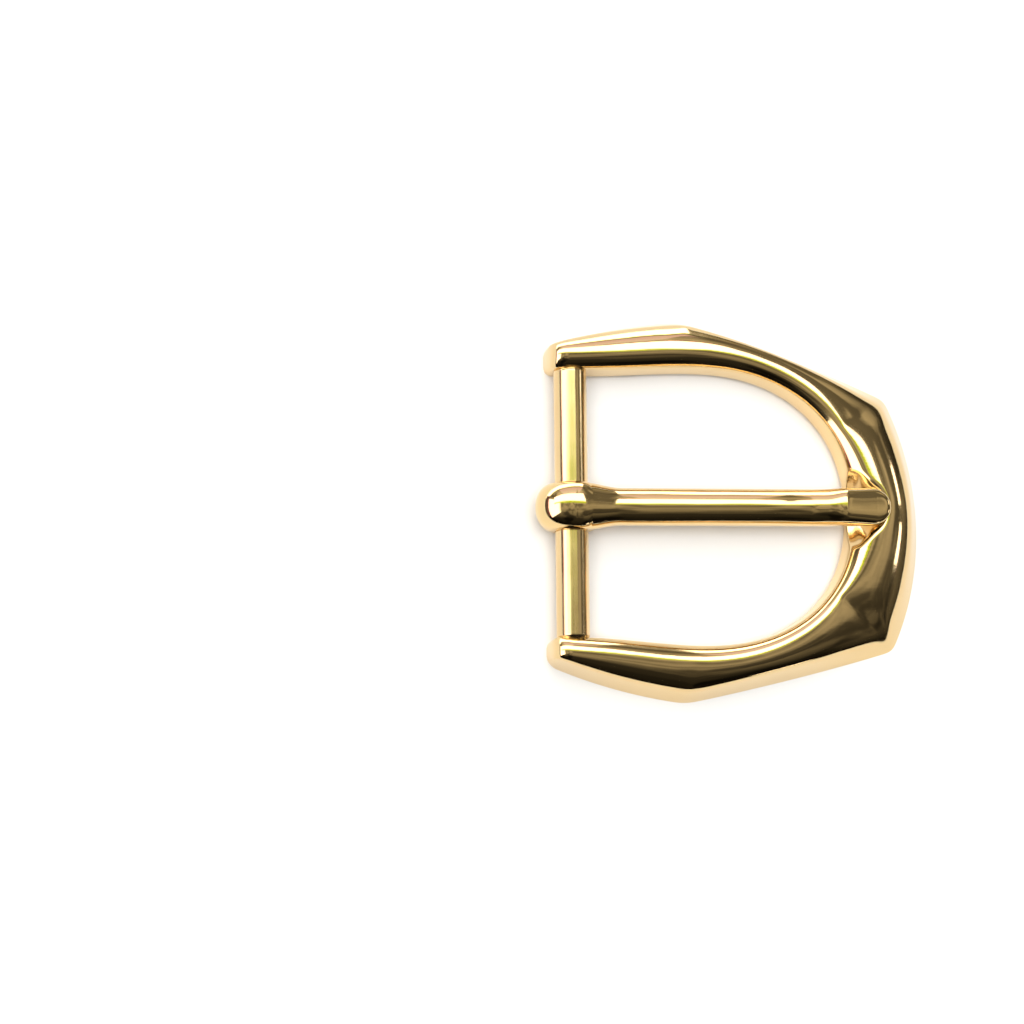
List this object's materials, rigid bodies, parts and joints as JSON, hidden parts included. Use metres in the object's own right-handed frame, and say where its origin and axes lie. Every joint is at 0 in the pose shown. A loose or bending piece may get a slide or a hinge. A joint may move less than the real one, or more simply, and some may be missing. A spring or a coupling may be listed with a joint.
{
  "type": "strap buckle",
  "caption": "Polished gold-plated one-prong strap buckle: a D-shaped cast frame with faceted outer sides and a hinged prong that rests in a notch of the nose.",
  "frame": {"origin": "middle of the whole buckle's box in X and Y, on the plane of the flat back", "axes": "+X from the strap bar towards the nose, +Y across the strap, +Z out of the domed front"},
  "size_m": [0.038, 0.0366, 0.0055],
  "materials": {
    "frame_plating": "polished",
    "prong_plating": "polished"
  },
  "bodies": {
    "frame": {"frame": "frame_plating"},
    "prong": {"prong": "prong_plating"}
  },
  "joints": [
    {"name": "prong_pivot", "type": "hinge", "parent": "frame", "child": "prong", "pos_m": [-0.0155, 0, 0.00245], "axis": [0, -1, 0], "range_deg": [0, 180]}
  ]
}
